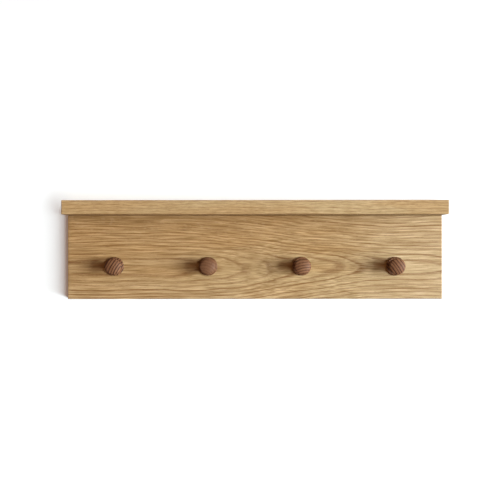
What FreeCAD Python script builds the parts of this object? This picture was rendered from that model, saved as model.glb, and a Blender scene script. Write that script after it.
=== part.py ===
import FreeCAD, Part

import os

from FreeCAD import Vector

# A wooden wall rack: a shelf board lying on a back board, with a row of turned pegs in the
# back board. Dowels join the two boards, each peg is held by a screw from behind, and two
# steel keyhole plates let into the back hang the rack on the wall.
#
# Millimetres. The origin is the centre of the back, on the plane that meets the wall.
# +X runs along the rack, +Z is up, and the front faces -Y.

# Boards
LENGTH = 600.0
BOARD_THICKNESS = 22.0
BACK_BOARD_HEIGHT = 134.0
SHELF_DEPTH = 100.0
ARRIS_RADIUS = 1.0

# Turned pegs: radii, and distances out from the front of the back board
PEG_COUNT = 4
PEG_PITCH = 150.0
PEG_HEIGHT_ABOVE_BOTTOM = 52.5
PEG_REACH = 36.0
COLLAR_RADIUS = 15.0
COLLAR_THICKNESS = 5.0
COLLAR_BULGE = 1.6
NECK_RADIUS = 7.0
NECK_OUT = 13.0
COVE_START_RADIUS = 11.5
HEAD_RADIUS = 13.0
HEAD_WIDEST_OUT = 30.5
HEAD_UNDERSIDE_RADIUS = 12.3
HEAD_UNDERSIDE_OUT = 28.4
FACE_RIM_RADIUS = 11.4
FACE_RIM_OUT = 33.9
SPIGOT_RADIUS = 6.0
SPIGOT_LENGTH = 10.0
SPIGOT_CHAMFER = 0.8

# Dowels between the boards
DOWEL_COUNT = 4
DOWEL_PITCH = 180.0
DOWEL_RADIUS = 4.0
DOWEL_LENGTH = 40.0
DOWEL_IN_SHELF = 13.0
DOWEL_CHAMFER = 0.8
FLUTE_COUNT = 12
FLUTE_RADIUS = 0.45

# Keyhole plates and the pockets behind them
PLATE_COUNT = 2
PLATE_PITCH = 400.0
PLATE_CENTRE_Z = 20.0
PLATE_WIDTH = 18.0
PLATE_HEIGHT = 46.0
PLATE_THICKNESS = 1.8
PLATE_CHAMFER = 0.3
PLATE_SINK = 0.2
ENTRY_RADIUS = 4.5
SLOT_RADIUS = 2.25
ENTRY_DROP = 4.0
SLOT_RISE = 5.5
POCKET_RADIUS = 6.5
POCKET_DEPTH = 9.0
PLATE_SCREW_OFFSET = 16.5

# Screws: head radius, thread radius, root radius, length, threaded length, thread pitch
PEG_SCREW = (4.0, 2.0, 1.4, 35.0, 20.0, 1.8)
PLATE_SCREW = (3.3, 1.75, 1.2, 15.0, 11.0, 1.4)
SCREW_RIM = 0.4
SCREW_SINK = 0.4
POINT_LENGTH = 3.5
RECESS_SHARE = 0.55
RECESS_WIDTH = 0.9
RECESS_DEPTH = 1.6

# Clearances
GLUE_GAP = 0.05
HOLE_GAP = 0.2
END_GAP = 0.5

# Levels that follow from the sizes above
SHELF_TOP = (BACK_BOARD_HEIGHT + BOARD_THICKNESS) / 2
JOINT_Z = SHELF_TOP - BOARD_THICKNESS
BOTTOM_Z = JOINT_Z - BACK_BOARD_HEIGHT
PEG_Z = BOTTOM_Z + PEG_HEIGHT_ABOVE_BOTTOM
FRONT_Y = -BOARD_THICKNESS
DOWEL_Y = -BOARD_THICKNESS / 2

FORWARD = Vector(0, -1, 0)
UP = Vector(0, 0, 1)


def spread(count, pitch):
    """Places along X, evenly spaced about the middle of the rack."""
    return [(index - (count - 1) / 2) * pitch for index in range(count)]


def turned(outline):
    """A solid of revolution about the Y axis from (radius, distance forward) curves."""
    edges = []
    for points in outline:
        ends = [Vector(radius, -forward, 0) for radius, forward in points]
        curve = Part.LineSegment(*ends) if len(ends) == 2 else Part.Arc(*ends)
        edges.append(curve.toShape())
    return Part.Face(Part.Wire(edges)).revolve(Vector(0, 0, 0), Vector(0, 1, 0), 360)


def lines(corners):
    """Straight outline pieces through the corners, in the form that turned() takes."""
    return list(zip(corners[:-1], corners[1:]))


def bore(x, y, z, radius, depth):
    """A round hole that starts at a point and runs forward."""
    return Part.makeCylinder(radius, depth, Vector(x, y, z), FORWARD)


def obround(x, low_z, high_z, radius, back_y, depth):
    """An upright bar with half-round ends centred at low_z and high_z."""
    left, right = x - radius, x + radius
    low_left, low_right = Vector(left, back_y, low_z), Vector(right, back_y, low_z)
    high_left, high_right = Vector(left, back_y, high_z), Vector(right, back_y, high_z)
    curves = [
        Part.LineSegment(low_left, high_left),
        Part.Arc(high_left, Vector(x, back_y, high_z + radius), high_right),
        Part.LineSegment(high_right, low_right),
        Part.Arc(low_right, Vector(x, back_y, low_z - radius), low_left),
    ]
    wire = Part.Wire([curve.toShape() for curve in curves])
    return Part.Face(wire).extrude(FORWARD * depth)


def eased_board(depth, height, bottom_z):
    """A full-length board whose arrises are all rounded over."""
    corner = Vector(-LENGTH / 2, -depth, bottom_z)
    board = Part.makeBox(LENGTH, depth, height, corner)
    return board.makeFillet(ARRIS_RADIUS, board.Edges)


def waist_arc(start, end):
    """The point halfway along a hollow arc that is parallel to the peg's axis at the neck.

    One of start and end is the neck, and the arc's centre is straight out from it.
    """
    neck, rim = (start, end) if start[0] < end[0] else (end, start)
    rise = rim[0] - neck[0]
    run = rim[1] - neck[1]
    radius = (rise ** 2 + run ** 2) / (2 * rise)
    half_run = run / 2
    drop = radius - (radius ** 2 - half_run ** 2) ** 0.5
    return (neck[0] + drop, neck[1] + half_run)


def make_peg():
    """A turned peg on the Y axis, whose collar lies on the plane y = 0."""
    screw_length = PEG_SCREW[3]
    pilot_radius = PEG_SCREW[1] + GLUE_GAP
    pilot_end = screw_length + SCREW_SINK - BOARD_THICKNESS + END_GAP
    neck = (NECK_RADIUS, NECK_OUT)
    collar_back = (COLLAR_RADIUS - COLLAR_BULGE, 0)
    collar_front = (COLLAR_RADIUS - COLLAR_BULGE, COLLAR_THICKNESS)
    cove_start = (COVE_START_RADIUS, COLLAR_THICKNESS)
    underside = (HEAD_UNDERSIDE_RADIUS, HEAD_UNDERSIDE_OUT)
    rim = (FACE_RIM_RADIUS, FACE_RIM_OUT)
    tip = (0, PEG_REACH)
    sagitta = PEG_REACH - FACE_RIM_OUT
    face_radius = (FACE_RIM_RADIUS ** 2 + sagitta ** 2) / (2 * sagitta)
    halfway = FACE_RIM_RADIUS / 2
    face_middle = (halfway, PEG_REACH - face_radius + (face_radius ** 2 - halfway ** 2) ** 0.5)

    foot = lines([
        (0, pilot_end),
        (pilot_radius, pilot_end),
        (pilot_radius, -SPIGOT_LENGTH),
        (SPIGOT_RADIUS - SPIGOT_CHAMFER, -SPIGOT_LENGTH),
        (SPIGOT_RADIUS, SPIGOT_CHAMFER - SPIGOT_LENGTH),
        (SPIGOT_RADIUS, 0),
        collar_back,
    ])
    body = [
        (collar_back, (COLLAR_RADIUS, COLLAR_THICKNESS / 2), collar_front),
        (collar_front, cove_start),
        (cove_start, waist_arc(cove_start, neck), neck),
        (neck, waist_arc(neck, underside), underside),
        (underside, (HEAD_RADIUS, HEAD_WIDEST_OUT), rim),
        (rim, face_middle, tip),
        (tip, (0, pilot_end)),
    ]
    return turned(foot + body)


def make_screw(head_radius, thread_radius, root_radius, length, threaded, pitch):
    """A countersunk screw on the Y axis, its head flush with y = 0 and its point forward."""
    head_depth = SCREW_RIM + head_radius - thread_radius
    teeth = int(threaded / pitch)
    thread_start = length - POINT_LENGTH - teeth * pitch
    corners = [(0, 0), (head_radius, 0), (head_radius, SCREW_RIM), (thread_radius, head_depth)]
    if thread_start > head_depth:
        corners.append((thread_radius, thread_start - pitch / 2))
    corners.append((root_radius, thread_start))
    for tooth in range(teeth):
        corners.append((thread_radius, thread_start + (tooth + 0.5) * pitch))
        corners.append((root_radius, thread_start + (tooth + 1) * pitch))
    corners += [(0, length), (0, 0)]
    screw = turned(lines(corners))

    reach = head_radius * RECESS_SHARE
    for size_x, size_z in ((reach, RECESS_WIDTH / 2), (RECESS_WIDTH / 2, reach)):
        corner = Vector(-size_x, -RECESS_DEPTH, -size_z)
        screw = screw.cut(Part.makeBox(2 * size_x, RECESS_DEPTH, 2 * size_z, corner))
    return screw


def screw_hole(x, z, back_y, screw, length):
    """The clearance hole and countersink for a screw driven forward from back_y."""
    head_radius, thread_radius = screw[0] + HOLE_GAP, screw[1] + HOLE_GAP
    slope = head_radius - thread_radius
    sink = bore(x, back_y, z, head_radius, SCREW_RIM + SCREW_SINK)
    cone_start = Vector(x, back_y - SCREW_RIM - SCREW_SINK, z)
    cone = Part.makeCone(head_radius, thread_radius, slope, cone_start, FORWARD)
    return bore(x, back_y, z, thread_radius, length).fuse([sink, cone])


def make_dowel():
    """A fluted dowel on the Z axis, from z = 0 upwards."""
    dowel = Part.makeCylinder(DOWEL_RADIUS, DOWEL_LENGTH)
    rims = [edge for edge in dowel.Edges if edge.Closed]
    dowel = dowel.makeChamfer(DOWEL_CHAMFER, rims)
    for index in range(FLUTE_COUNT):
        flute = Part.makeCylinder(FLUTE_RADIUS, DOWEL_LENGTH, Vector(DOWEL_RADIUS, 0, 0))
        flute.rotate(Vector(0, 0, 0), UP, index * 360 / FLUTE_COUNT)
        dowel = dowel.cut(flute)
    return dowel


def dowel_holes(x):
    """The one straight hole that a dowel fills, in the shelf and in the back board."""
    depth = DOWEL_LENGTH + 2 * END_GAP
    start = Vector(x, DOWEL_Y, JOINT_Z + DOWEL_IN_SHELF + END_GAP - depth)
    return Part.makeCylinder(DOWEL_RADIUS + GLUE_GAP, depth, start)


def plate_screw_places(x):
    """Centres of the two screws of the plate at x, the lower one first."""
    return [(x, PLATE_CENTRE_Z + side * PLATE_SCREW_OFFSET) for side in (-1, 1)]


def keyhole(x, entry_radius, slot_radius, back_y, depth):
    """A round entry with a narrower slot rising from it."""
    entry_z = PLATE_CENTRE_Z - ENTRY_DROP
    slot_top_z = PLATE_CENTRE_Z + SLOT_RISE
    entry = bore(x, back_y, entry_z, entry_radius, depth)
    return entry.fuse(obround(x, entry_z, slot_top_z, slot_radius, back_y, depth))


def make_plate(x):
    """A steel keyhole plate, just below the surface of the back."""
    radius = PLATE_WIDTH / 2
    half_run = PLATE_HEIGHT / 2 - radius
    low, high = PLATE_CENTRE_Z - half_run, PLATE_CENTRE_Z + half_run
    plate = obround(x, low, high, radius, -PLATE_SINK, PLATE_THICKNESS)
    outer = [edge for edge in plate.Edges if abs(edge.BoundBox.YMin + PLATE_SINK) < GLUE_GAP]
    plate = plate.makeChamfer(PLATE_CHAMFER, outer)
    plate = plate.cut(keyhole(x, ENTRY_RADIUS, SLOT_RADIUS, -PLATE_SINK, PLATE_THICKNESS))
    for screw_x, screw_z in plate_screw_places(x):
        plate = plate.cut(screw_hole(screw_x, screw_z, -PLATE_SINK, PLATE_SCREW, PLATE_THICKNESS))
    return plate


def plate_pockets(x):
    """What is routed and drilled into the back for one plate."""
    radius = PLATE_WIDTH / 2
    half_run = PLATE_HEIGHT / 2 - radius
    low, high = PLATE_CENTRE_Z - half_run, PLATE_CENTRE_Z + half_run
    depth = PLATE_SINK + PLATE_THICKNESS
    pocket_low = PLATE_CENTRE_Z - ENTRY_DROP
    pocket_high = PLATE_CENTRE_Z + SLOT_RISE
    cuts = [
        obround(x, low, high, radius + HOLE_GAP, 0, depth),
        obround(x, pocket_low, pocket_high, POCKET_RADIUS, 0, POCKET_DEPTH),
    ]
    pilot_depth = PLATE_SCREW[3] + SCREW_SINK + PLATE_SINK + END_GAP
    for screw_x, screw_z in plate_screw_places(x):
        cuts.append(bore(screw_x, 0, screw_z, PLATE_SCREW[0] + GLUE_GAP, 2 * depth))
        cuts.append(bore(screw_x, 0, screw_z, PLATE_SCREW[1] + GLUE_GAP, pilot_depth))
    return cuts


def make_shelf_board():
    board = eased_board(SHELF_DEPTH, BOARD_THICKNESS, JOINT_Z)
    return board.cut([dowel_holes(x) for x in spread(DOWEL_COUNT, DOWEL_PITCH)])


def make_back_board():
    cuts = [dowel_holes(x) for x in spread(DOWEL_COUNT, DOWEL_PITCH)]
    for x in spread(PEG_COUNT, PEG_PITCH):
        seat_depth = SPIGOT_LENGTH + END_GAP
        cuts.append(bore(x, FRONT_Y + seat_depth, PEG_Z, SPIGOT_RADIUS + GLUE_GAP, seat_depth))
        cuts.append(screw_hole(x, PEG_Z, 0, PEG_SCREW, BOARD_THICKNESS))
    for x in spread(PLATE_COUNT, PLATE_PITCH):
        cuts += plate_pockets(x)
    return eased_board(BOARD_THICKNESS, BACK_BOARD_HEIGHT, BOTTOM_Z).cut(cuts)


def placed(shape, x, y, z):
    copy = shape.copy()
    copy.translate(Vector(x, y, z))
    return copy


def build():
    """Every node of the rack by name."""
    nodes = {"back_board": make_back_board(), "shelf_board": make_shelf_board()}

    peg = make_peg()
    peg_screw = make_screw(*PEG_SCREW)
    for number, x in enumerate(spread(PEG_COUNT, PEG_PITCH), start=1):
        nodes[f"peg_{number}"] = placed(peg, x, FRONT_Y, PEG_Z)
        nodes[f"peg_screw_{number}"] = placed(peg_screw, x, -SCREW_SINK, PEG_Z)

    dowel = make_dowel()
    dowel_z = JOINT_Z + DOWEL_IN_SHELF - DOWEL_LENGTH
    for number, x in enumerate(spread(DOWEL_COUNT, DOWEL_PITCH), start=1):
        nodes[f"shelf_dowel_{number}"] = placed(dowel, x, DOWEL_Y, dowel_z)

    plate_screw = make_screw(*PLATE_SCREW)
    for side, x in zip(("left", "right"), spread(PLATE_COUNT, PLATE_PITCH)):
        nodes[f"keyhole_plate_{side}"] = make_plate(x)
        for level, (screw_x, screw_z) in zip(("lower", "upper"), plate_screw_places(x)):
            name = f"keyhole_screw_{side}_{level}"
            nodes[name] = placed(plate_screw, screw_x, -PLATE_SINK - SCREW_SINK, screw_z)
    return nodes


os.makedirs("parts", exist_ok=True)
for node, shape in build().items():
    shape.exportStep(f"parts/{node}.step")
    box = shape.BoundBox
    print(f"{node}: {box.XLength:.1f} x {box.YLength:.1f} x {box.ZLength:.1f} mm,"
          f" {len(shape.Solids)} solid, valid {shape.isValid()}")
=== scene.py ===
import math

import bpy
from mathutils import Matrix, Vector


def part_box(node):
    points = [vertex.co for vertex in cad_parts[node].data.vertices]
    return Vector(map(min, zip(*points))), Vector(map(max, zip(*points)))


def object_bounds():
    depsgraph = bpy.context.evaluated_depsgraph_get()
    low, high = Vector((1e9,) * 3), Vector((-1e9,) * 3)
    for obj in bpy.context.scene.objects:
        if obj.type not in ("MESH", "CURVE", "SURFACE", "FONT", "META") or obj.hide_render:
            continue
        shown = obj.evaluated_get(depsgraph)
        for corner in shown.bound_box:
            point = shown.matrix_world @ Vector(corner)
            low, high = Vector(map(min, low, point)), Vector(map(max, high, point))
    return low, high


# The looks of a wall rack: two oak boards, four turned walnut pegs and the zinc-plated
# fittings in its back, hung on a white wall. Metres, in the CAD frame: the origin is the
# centre of the back, +X runs along the rack, +Z is up and the front faces -Y.

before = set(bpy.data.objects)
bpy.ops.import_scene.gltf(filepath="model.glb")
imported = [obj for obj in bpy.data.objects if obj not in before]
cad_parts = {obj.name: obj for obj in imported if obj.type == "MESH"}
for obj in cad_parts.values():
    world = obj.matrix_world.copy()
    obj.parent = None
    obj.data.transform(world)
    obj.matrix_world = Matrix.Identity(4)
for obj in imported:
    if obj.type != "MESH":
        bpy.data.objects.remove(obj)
cad_low, cad_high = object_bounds()

MM = 0.001

# Camera: a long lens, straight on to the front, a little left of the middle
CAMERA_FROM_WALL = 2.208
CAMERA_SIDE = -0.0079
CAMERA_UP = 0.0006
CAMERA_ROLL = math.radians(0.05)
CAMERA_LENS = 98.15
CAMERA_SENSOR = 36.0

# Stage
WALL_GAP = 0.0005
WALL_SIZE = (9.0, 7.0)
WALL_COLOUR = (0.90, 0.90, 0.90, 1.0)
WALL_GLOW = 0.13
FLOOR_DROP = 1.25
FLOOR_SIZE = (60.0, 60.0)
FLOOR_COLOUR = (0.20, 0.20, 0.20, 1.0)
FLOOR_GLOW = (0.78, 0.78, 0.77, 1.0)
FILL_COLOUR = (1.0, 0.42, 0.17, 1.0)
FILL_REFLECTED = (1.0, 1.0, 1.0, 1.0)
FILL_OVERHEAD = 0.24
FILL_LEVEL = 0.20
BACKDROP_COLOUR = (1.0, 1.0, 1.0, 1.0)

# Light colours
WHITE = (1.0, 1.0, 1.0)
COOL = (0.82, 0.95, 1.0)

# Lights: name, degrees to the right of straight out from the wall, degrees up, distance,
# width, height, power, colour, what it lights, and what of the rack casts its shadow
LIGHTS = (
    ("key", 59, 0, 8.0, 7.6, 1.1, 640.0, WHITE, "rack", "all"),
    ("tall", 57, -4, 8.0, 7.4, 5.0, 800.0, WHITE, "rack", "all"),
    ("wall_wash", 48, -19, 5.0, 4.0, 1.4, 340.0, COOL, "wall", "back"),
    ("wall_front", 17, -6.5, 5.0, 1.1, 1.2, 100.0, COOL, "wall", "boards"),
    ("rear_left", -138, 48, 3.0, 1.6, 1.6, 80.0, WHITE, "rack", "all"),
    ("rear_right", 130, 11, 3.2, 1.6, 1.6, 65.0, WHITE, "rack", "all"),
)

# Wood: the noise values at which a mark starts and is full
BREAK_RANGE = (0.32, 0.60)
PORE_RANGE = (0.60, 0.70)
RAY_RANGE = (0.66, 0.74)
WARM_RANGE = (0.35, 0.68)
FINE_RANGE = (0.2, 0.8)
# How squarely a surface faces along the fibre to be end grain, and an axis to be no edge
END_RANGE = (0.6, 0.95)
EDGE_RANGE = (0.80, 0.98)
# How fast red, green and blue fall as the wood darkens
DARKENING = (1.0, 1.2, 1.6)
# What pores, bands and fibre do to the roughness and the height of the surface
PORE_ROUGHNESS = 0.22
FINE_ROUGHNESS = 0.04
FINE_HEIGHT = 0.35
PORE_DEPTH = 0.8
BAND_DEPTH = 0.35

# Where the middles of the boards' logs are: how far behind the board's front, and how high
# above the origin for the back board and above the underside for the shelf
BACK_HEART = (0.034, -0.028)
SHELF_HEART = (-0.030, -0.045)

# Zinc plate: crystals in a metre, and the colours of crystals and stains
ZINC_CRYSTALS = 420.0
ZINC_DARK = (0.62, 0.64, 0.66, 1)
ZINC_LIGHT = (0.74, 0.75, 0.75, 1)
ZINC_STAIN = (0.46, 0.45, 0.42, 1)


class Graph:
    """A material, with short calls that add and join its nodes."""

    def __init__(self, name):
        self.material = bpy.data.materials.new(name)
        self.material.use_nodes = True
        self.tree = self.material.node_tree
        self.shader = self.tree.nodes["Principled BSDF"]

    def feed(self, socket, value):
        """Joins an output to the socket, or sets its own value."""
        if isinstance(value, bpy.types.NodeSocket):
            self.tree.links.new(value, socket)
        else:
            socket.default_value = value

    def add(self, kind, inputs=None, **settings):
        node = self.tree.nodes.new("ShaderNode" + kind)
        for setting, value in settings.items():
            setattr(node, setting, value)
        for socket, value in (inputs or {}).items():
            self.feed(node.inputs[socket], value)
        return node

    def math(self, operation, *values):
        return self.add("Math", dict(enumerate(values)), operation=operation).outputs[0]

    def scaled(self, value, factor, plus=0.0):
        return self.math("MULTIPLY_ADD", value, factor, plus)

    def vector_math(self, operation, first, second=(0, 0, 0)):
        node = self.add("VectorMath", {0: first, 1: second}, operation=operation)
        return node.outputs["Value" if operation in ("LENGTH", "DOT_PRODUCT") else "Vector"]

    def ramp(self, value, low, high, to_low=0.0, to_high=1.0):
        """Smoothly from to_low, where value is low or less, to to_high at high or more."""
        inputs = {"Value": value, "From Min": low, "From Max": high, "To Min": to_low, "To Max": to_high}
        return self.add("MapRange", inputs, interpolation_type="SMOOTHSTEP").outputs[0]

    def blend(self, share, first, second, mode="MIX"):
        """A colour that goes from first to second as share goes from 0 to 1."""
        node = self.add("Mix", data_type="RGBA", blend_type=mode, clamp_result=False)
        for socket, value in zip((0, 6, 7), (share, first, second)):
            self.feed(node.inputs[socket], value)
        return node.outputs[2]

    def noise(self, point, scale=1.0, detail=2.0, roughness=0.5):
        inputs = {"Vector": point, "Scale": scale, "Detail": detail, "Roughness": roughness}
        return self.add("TexNoise", inputs).outputs["Fac"]

    def noise_along(self, value, length):
        inputs = {"W": value, "Scale": 1 / length, "Detail": 1.0}
        return self.add("TexNoise", inputs, noise_dimensions="1D").outputs["Fac"]

    def stretched(self, point, lengths):
        """The point, so that noise of scale 1 has features of these lengths."""
        return self.vector_math("MULTIPLY", point, [1 / length for length in lengths])

    def axes(self, point):
        return self.add("SeparateXYZ", {0: point}).outputs

    def object_point(self):
        return self.add("TexCoord").outputs["Object"]

    def object_normal(self):
        return self.add("TexCoord").outputs["Normal"]

    def bump(self, height, distance):
        node = self.add("Bump", {"Height": height, "Distance": distance, "Strength": 1.0})
        self.feed(self.shader.inputs["Normal"], node.outputs["Normal"])


def log_point(graph, pith, fibre, out):
    """Millimetres in the log: x along the fibre, and y and z across it from the pith.

    pith is a point on the log's middle line, and out is roughly the way from it to the bark.
    """
    along = Vector(fibre).normalized()
    side = Vector(out).cross(along).normalized()
    turn = Matrix((along, side, along.cross(side))).transposed().to_euler()
    inputs = {"Vector": graph.object_point(), "Location": pith, "Rotation": turn, "Scale": (MM, MM, MM)}
    return graph.add("Mapping", inputs, vector_type="TEXTURE").outputs["Vector"]


def wood(name, pith, fibre, out, look):
    """Solid wood cut from a log: rings, pores, rays, fibre streaks and end grain.

    look holds the species' numbers, with lengths in millimetres.
    """
    graph = Graph(name)
    point = log_point(graph, pith, fibre, out)
    along = graph.axes(point)[0]
    across = graph.vector_math("MULTIPLY", point, (0, 1, 1))
    centred = graph.axes(across)

    # Rings: the distance from the pith, leaning along the log and wandering a little
    wander = graph.noise(graph.stretched(point, look["wander_lengths"]), detail=2.0)
    ripple = graph.noise(graph.stretched(point, look["ripple_lengths"]), detail=1.0)
    radius = graph.scaled(wander, look["wander"], graph.vector_math("LENGTH", across))
    radius = graph.scaled(ripple, look["ripple"], radius)
    for start, end, rise in look["lean"]:
        radius = graph.math("ADD", radius, graph.ramp(along, start, end, 0.0, rise))
    uneven = graph.noise_along(radius, 2.5 * look["ring"])
    phase = graph.scaled(uneven, look["uneven"], graph.math("DIVIDE", radius, look["ring"]))
    part = graph.math("FRACT", phase)
    number = graph.math("FLOOR", phase)
    lot = graph.add("TexWhiteNoise", {"W": number}, noise_dimensions="1D").outputs["Value"]

    # The same point in the leaning log: along it, out from the pith and round it
    angle = graph.math("ARCTAN2", centred[1], centred[2])
    around = graph.math("MULTIPLY", angle, look["girth"])
    flow = graph.add("CombineXYZ", {0: along, 1: radius, 2: around}).outputs[0]

    # The porous early part of each ring, broken up along the fibre
    start, peak, end = look["early"]
    rising = graph.ramp(part, start, peak)
    early = graph.math("MULTIPLY", rising, graph.ramp(part, peak, end, 1.0, 0.0))
    broken = graph.noise(graph.stretched(flow, look["break_lengths"]), detail=2.0)
    whole = graph.ramp(broken, *BREAK_RANGE, look["faintest"], 1.0)
    strength = graph.math("MULTIPLY", whole, graph.ramp(lot, 0.0, 1.0, look["palest"], 1.0))
    band = graph.math("MULTIPLY", early, strength)

    # Pores: short dark dashes along the fibre, and dots on end grain
    grain = graph.noise(graph.stretched(point, look["pore_lengths"]), detail=1.0)
    crowd = graph.scaled(early, look["pore_crowd"], look["pore_base"])
    pores = graph.ramp(graph.math("ADD", grain, crowd), *PORE_RANGE)

    # Rays: thin sheets that run out from the pith
    ray_point = graph.stretched(flow, look["ray_lengths"])
    rays = graph.ramp(graph.noise(ray_point, detail=0.0), *RAY_RANGE)

    # Streaks: fine fibre, and slow changes of tone over the board
    fine = graph.noise(graph.stretched(point, look["fine_lengths"]), detail=3.0, roughness=0.6)
    cloud = graph.noise(graph.stretched(point, look["cloud_lengths"]), detail=2.0)

    colour = graph.blend(graph.ramp(cloud, *WARM_RANGE), look["late"], look["warm"])
    # Painted light and shade: slow blends towards darker and towards paler wood across the board
    for axis, low, high, to_low, to_high, tint in look["painted_light_drifts"]:
        share = graph.ramp(graph.axes(point)[axis], low, high, to_low, to_high)
        colour = graph.blend(share, colour, look[tint])
    tone = graph.scaled(fine, look["fine"], 1 - look["fine"] / 2)
    for lengths, amount in look["streaks"]:
        streak = graph.noise(graph.stretched(flow, lengths), detail=1.5, roughness=0.6)
        tone = graph.math("MULTIPLY", tone, graph.scaled(streak, amount, 1 - amount / 2))
    # Darker wood is browner as well: its green and blue fall faster than its red
    tones = {channel: graph.math("POWER", tone, power) for channel, power in enumerate(DARKENING)}
    colour = graph.blend(1.0, colour, graph.add("CombineXYZ", tones).outputs[0], "MULTIPLY")
    colour = graph.blend(graph.math("MULTIPLY", band, look["band"]), colour, look["dark"])
    colour = graph.blend(graph.math("MULTIPLY", rays, look["ray"]), colour, look["ray_colour"])
    colour = graph.blend(graph.math("MULTIPLY", pores, look["pore"]), colour, look["pore_colour"])
    if look["end_shade"]:
        # End grain soaks up more oil, so it is darker
        facing = graph.vector_math("DOT_PRODUCT", graph.object_normal(), fibre)
        end = graph.ramp(graph.math("ABSOLUTE", facing), *END_RANGE, 0.0, look["end_shade"])
        colour = graph.blend(end, colour, look["dark"])
    if look["painted_edge_shade"]:
        # Painted shade: the eased edges, which face between the axes, are darkened
        parts = graph.axes(graph.vector_math("ABSOLUTE", graph.object_normal()))
        most = graph.math("MAXIMUM", graph.math("MAXIMUM", parts[0], parts[1]), parts[2])
        edge = graph.ramp(most, *EDGE_RANGE, look["painted_edge_shade"], 0.0)
        colour = graph.blend(edge, colour, look["dark"])
    graph.feed(graph.shader.inputs["Base Color"], colour)

    rough = look["roughness"]
    smooth = graph.ramp(fine, *FINE_RANGE, rough + FINE_ROUGHNESS, rough - FINE_ROUGHNESS)
    graph.feed(graph.shader.inputs["Roughness"], graph.scaled(pores, PORE_ROUGHNESS, smooth))
    graph.shader.inputs["Specular IOR Level"].default_value = look["gloss"]

    height = graph.math("MULTIPLY", fine, FINE_HEIGHT)
    height = graph.math("SUBTRACT", height, graph.math("MULTIPLY", pores, PORE_DEPTH))
    height = graph.math("SUBTRACT", height, graph.math("MULTIPLY", band, BAND_DEPTH))
    graph.bump(height, look["relief"] * MM)
    return graph.material


OAK = {
    "ring": 4.4, "uneven": 1.0,
    "wander": 14.0, "wander_lengths": (200, 60, 60),
    "ripple": 1.6, "ripple_lengths": (45, 14, 14),
    "lean": ((-120, 250, 26.0),),
    "early": (0.0, 0.18, 0.58),
    "break_lengths": (45, 3.2, 3.2), "faintest": 0.3, "palest": 0.5,
    "pore_lengths": (5.0, 0.30, 0.30), "pore_crowd": 0.10, "pore_base": -0.05,
    "girth": 60.0, "ray_lengths": (7.0, 60.0, 1.1),
    "fine_lengths": (34, 0.9, 0.9), "fine": 0.45,
    "streaks": (((40, 1.6, 1.6), 1.65), ((90, 5.5, 5.5), 0.65)),
    "cloud_lengths": (150, 26, 26),
    "late": (0.460, 0.352, 0.176, 1), "warm": (0.430, 0.300, 0.132, 1),
    "deep": (0.360, 0.214, 0.084, 1), "pale": (0.560, 0.465, 0.288, 1),
    # Painted shade, darker and redder towards the left and the top; painted light, paler towards the
    # right and the bottom
    "painted_light_drifts": ((0, -310, 250, 0.5, 0.0, "deep"), (1, -20, 84, 0.0, 0.5, "deep"),
               (0, 100, 300, 0.0, 0.45, "pale"), (1, -50, 0, 0.2, 0.0, "pale")),
    "dark": (0.205, 0.096, 0.024, 1), "band": 0.9,
    "ray_colour": (0.52, 0.37, 0.20, 1), "ray": 0.2,
    "pore_colour": (0.17, 0.085, 0.035, 1), "pore": 0.65,
    "roughness": 0.46, "gloss": 0.33, "relief": 0.10, "end_shade": 0.45, "painted_edge_shade": 0.3,
}

# The shelf's painted shade: darker towards the left
SHELF_OAK = dict(OAK, ring=4.2, lean=(), painted_light_drifts=((0, -310, 200, 0.25, 0.0, "deep"),),
                 late=(0.475, 0.370, 0.194, 1), warm=(0.445, 0.318, 0.151, 1), band=0.45,
                 break_lengths=(20, 3, 3), streaks=(((14, 1.5, 1.5), 0.9), ((40, 4, 4), 0.3)))

WALNUT = dict(
    OAK, ring=4.3, uneven=0.5, wander=1.2, wander_lengths=(60, 16, 16),
    ripple=0.5, ripple_lengths=(20, 6, 6), lean=(),
    early=(0.0, 0.25, 0.75), break_lengths=(20, 4, 4), faintest=0.85, palest=0.8,
    pore_lengths=(6.0, 0.35, 0.35), pore_crowd=0.06, pore_base=-0.04,
    girth=40.0, ray_lengths=(3.0, 20.0, 0.35),
    fine_lengths=(20, 0.7, 0.7), fine=0.40, cloud_lengths=(40, 14, 14),
    late=(0.250, 0.127, 0.062, 1), warm=(0.205, 0.093, 0.042, 1),
    painted_light_drifts=(),
    dark=(0.022, 0.005, 0.001, 1), band=1.0, streaks=(((20, 1.8, 1.8), 0.5),),
    ray_colour=(0.30, 0.18, 0.12, 1), ray=0.15,
    pore_colour=(0.05, 0.022, 0.012, 1), pore=0.6,
    roughness=0.5, gloss=0.25, relief=0.08, end_shade=0, painted_edge_shade=0,
)

BEECH = dict(
    OAK, ring=1.8, band=0.25, lean=(), painted_light_drifts=(), streaks=(), pore=0.15, fine=0.15,
    late=(0.62, 0.44, 0.29, 1), warm=(0.56, 0.37, 0.23, 1), dark=(0.42, 0.25, 0.14, 1),
    ray_colour=(0.38, 0.20, 0.11, 1), ray=0.5, ray_lengths=(2.0, 8.0, 0.5),
    roughness=0.6, relief=0.05, painted_edge_shade=0,
)


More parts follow.
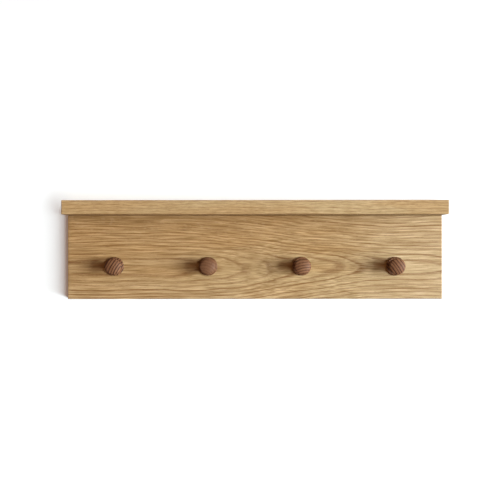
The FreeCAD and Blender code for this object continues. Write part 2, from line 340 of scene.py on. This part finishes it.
def zinc(name):
    """Bright zinc plate: a soft crystal pattern, fine scuffs and a few stains."""
    graph = Graph(name)
    point = graph.object_point()
    spangle = graph.add("TexVoronoi", {"Vector": point, "Scale": ZINC_CRYSTALS}).outputs["Color"]
    patch = graph.axes(spangle)[0]
    scuff = graph.noise(graph.stretched(point, (0.0006, 0.004, 0.009)), detail=3.0)
    stain = graph.noise(graph.stretched(point, (0.006, 0.006, 0.006)), detail=3.0)
    bright = graph.blend(graph.ramp(patch, 0.0, 1.0, 0.0, 0.5), ZINC_DARK, ZINC_LIGHT)
    colour = graph.blend(graph.ramp(stain, 0.55, 0.75, 0.0, 0.45), bright, ZINC_STAIN)
    graph.feed(graph.shader.inputs["Base Color"], colour)
    graph.feed(graph.shader.inputs["Roughness"], graph.scaled(scuff, 0.22, 0.22))
    graph.shader.inputs["Metallic"].default_value = 1.0
    graph.bump(graph.math("ADD", graph.math("MULTIPLY", patch, 0.2), scuff), 0.01 * MM)
    return graph.material


def paint(node, material):
    """Gives a CAD node one material."""
    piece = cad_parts[node]
    piece.data.materials.clear()
    piece.data.materials.append(material)


def dress_boards():
    low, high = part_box("back_board")
    heart = Vector((0, low.y + BACK_HEART[0], BACK_HEART[1]))
    oak = wood("oak_back_board", heart, (1, 0, 0), (0, -1, 0), OAK)
    paint("back_board", oak)
    low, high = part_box("shelf_board")
    heart = Vector((0, low.y + SHELF_HEART[0], low.z + SHELF_HEART[1]))
    oak = wood("oak_shelf", heart, (1, 0, 0), (0, 1, 0.4), SHELF_OAK)
    paint("shelf_board", oak)


# Each peg's ring direction on its face, in degrees from level, how far its pith is, how
# strong its rings look and how light its wood is
PEG_GRAIN = (
    (60, 0.070, 1.0, 0.95),
    (-20, 0.020, 0.3, 0.78),
    (12, 0.045, 0.75, 0.95),
    (-53, 0.080, 1.0, 0.98),
)


def dress_pegs():
    for number, (turn, reach, strength, light) in enumerate(PEG_GRAIN, start=1):
        node = f"peg_{number}"
        low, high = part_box(node)
        middle = (low + high) / 2
        angle = math.radians(turn + 90)
        out = Vector((math.cos(angle), 0, math.sin(angle)))
        look = dict(WALNUT, band=WALNUT["band"] * strength)
        for tint in ("late", "warm"):
            look[tint] = tuple(part * light for part in WALNUT[tint][:3]) + (1,)
        walnut = wood(f"walnut_{number}", middle - out * reach, (0, 1, 0), out, look)
        paint(node, walnut)


def dress_fittings():
    beech = wood("beech", (0.01, 0.0, 0.0), (0, 0, 1), (1, 0.3, 0), BEECH)
    plate = zinc("zinc_plate")
    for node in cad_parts:
        if node.startswith("shelf_dowel"):
            paint(node, beech)
        elif "keyhole" in node or "screw" in node:
            paint(node, plate)


def make_plane(name, size, turn, place, material):
    """A flat rectangle of the stage, which is seen but neither shades nor lights the rack."""
    half_x, half_y = size[0] / 2, size[1] / 2
    corners = [(-half_x, -half_y, 0), (half_x, -half_y, 0), (half_x, half_y, 0), (-half_x, half_y, 0)]
    mesh = bpy.data.meshes.new(name)
    mesh.from_pydata(corners, [], [(0, 1, 2, 3)])
    plane = bpy.data.objects.new(name, mesh)
    plane.rotation_euler = turn
    plane.location = place
    mesh.materials.append(material)
    plane.visible_shadow = False
    plane.visible_diffuse = False
    plane.visible_glossy = False
    bpy.context.scene.collection.objects.link(plane)


def wall_paint():
    """White paint that is seen and shaded from the front only, so the back of the rack shows."""
    graph = Graph("wall_paint")
    graph.shader.inputs["Base Color"].default_value = WALL_COLOUR
    graph.shader.inputs["Roughness"].default_value = 0.9
    graph.shader.inputs["Specular IOR Level"].default_value = 0.1
    graph.shader.inputs["Emission Color"].default_value = WALL_COLOUR
    graph.shader.inputs["Emission Strength"].default_value = WALL_GLOW
    behind = graph.add("NewGeometry").outputs["Backfacing"]
    clear = graph.add("BsdfTransparent").outputs[0]
    mix = graph.add("MixShader", {0: behind, 1: graph.shader.outputs[0], 2: clear})
    graph.feed(graph.tree.nodes["Material Output"].inputs["Surface"], mix.outputs[0])
    return graph.material


def floor_paint():
    graph = Graph("floor_paint")
    graph.shader.inputs["Base Color"].default_value = FLOOR_COLOUR
    graph.shader.inputs["Roughness"].default_value = 0.8
    graph.shader.inputs["Emission Color"].default_value = FLOOR_GLOW
    graph.shader.inputs["Emission Strength"].default_value = 1.0
    return graph.material


def make_stage():
    upright = (math.radians(90), 0, 0)
    make_plane("wall", WALL_SIZE, upright, (0, cad_high.y + WALL_GAP, 0), wall_paint())
    make_plane("floor", FLOOR_SIZE, (0, 0, 0), (0, 0, cad_low.z - FLOOR_DROP), floor_paint())


def make_world():
    """White behind the stage, and a weak fill, stronger from above and neutral in reflections."""
    world = bpy.data.worlds.new("studio")
    world.use_nodes = True
    nodes, links = world.node_tree.nodes, world.node_tree.links
    nodes.clear()
    seen = nodes.new("ShaderNodeBackground")
    seen.inputs["Color"].default_value = BACKDROP_COLOUR
    height = nodes.new("ShaderNodeSeparateXYZ")
    links.new(nodes.new("ShaderNodeTexCoord").outputs["Generated"], height.inputs[0])
    strength = nodes.new("ShaderNodeMapRange")
    links.new(height.outputs[2], strength.inputs["Value"])
    strength.inputs["To Min"].default_value = FILL_LEVEL
    strength.inputs["To Max"].default_value = FILL_OVERHEAD
    fill = nodes.new("ShaderNodeBackground")
    rays = nodes.new("ShaderNodeLightPath").outputs
    tint = nodes.new("ShaderNodeMix")
    tint.data_type = "RGBA"
    links.new(rays["Is Glossy Ray"], tint.inputs[0])
    tint.inputs[6].default_value = FILL_COLOUR
    tint.inputs[7].default_value = FILL_REFLECTED
    links.new(tint.outputs[2], fill.inputs["Color"])
    links.new(strength.outputs[0], fill.inputs["Strength"])
    mix = nodes.new("ShaderNodeMixShader")
    links.new(rays["Is Camera Ray"], mix.inputs[0])
    links.new(fill.outputs[0], mix.inputs[1])
    links.new(seen.outputs[0], mix.inputs[2])
    links.new(mix.outputs[0], nodes.new("ShaderNodeOutputWorld").inputs["Surface"])
    bpy.context.scene.world = world


def light_groups():
    """The sets of objects that lights are limited to."""
    rack = list(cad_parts.values())
    members = {
        "rack": rack,
        "wall": [bpy.data.objects["wall"]],
        "back": [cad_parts["back_board"]],
        "boards": [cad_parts["back_board"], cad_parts["shelf_board"]],
    }
    groups = {"all": None}
    for name, pieces in members.items():
        groups[name] = bpy.data.collections.new(name)
        for piece in pieces:
            groups[name].objects.link(piece)
    return groups


def make_lights():
    """Soft lights that face the middle of the rack."""
    groups = light_groups()
    for name, turn, rise, distance, width, height, power, colour, lit, shading in LIGHTS:
        light = bpy.data.lights.new(name, "AREA")
        light.shape = "RECTANGLE"
        light.size = width
        light.size_y = height
        light.energy = power
        light.color = colour
        lamp = bpy.data.objects.new(name, light)
        turn, rise = math.radians(turn), math.radians(rise)
        level = Vector((math.sin(turn), -math.cos(turn), 0)) * math.cos(rise)
        away = level + Vector((0, 0, math.sin(rise)))
        lamp.location = away * distance
        lamp.rotation_euler = away.to_track_quat("Z", "Y").to_euler()
        lamp.visible_camera = False
        lamp.light_linking.receiver_collection = groups[lit]
        lamp.light_linking.blocker_collection = groups[shading]
        bpy.context.scene.collection.objects.link(lamp)


def make_camera():
    data = bpy.data.cameras.new("camera")
    data.sensor_width = CAMERA_SENSOR
    data.lens = CAMERA_LENS
    camera = bpy.data.objects.new("camera", data)
    camera.location = (CAMERA_SIDE, cad_high.y - CAMERA_FROM_WALL, CAMERA_UP)
    camera.rotation_euler = (math.radians(90), CAMERA_ROLL, 0)
    bpy.context.scene.collection.objects.link(camera)
    bpy.context.scene.camera = camera


dress_boards()
dress_pegs()
dress_fittings()
make_stage()
make_world()
make_lights()
make_camera()
bpy.context.scene.view_settings.view_transform = "Standard"
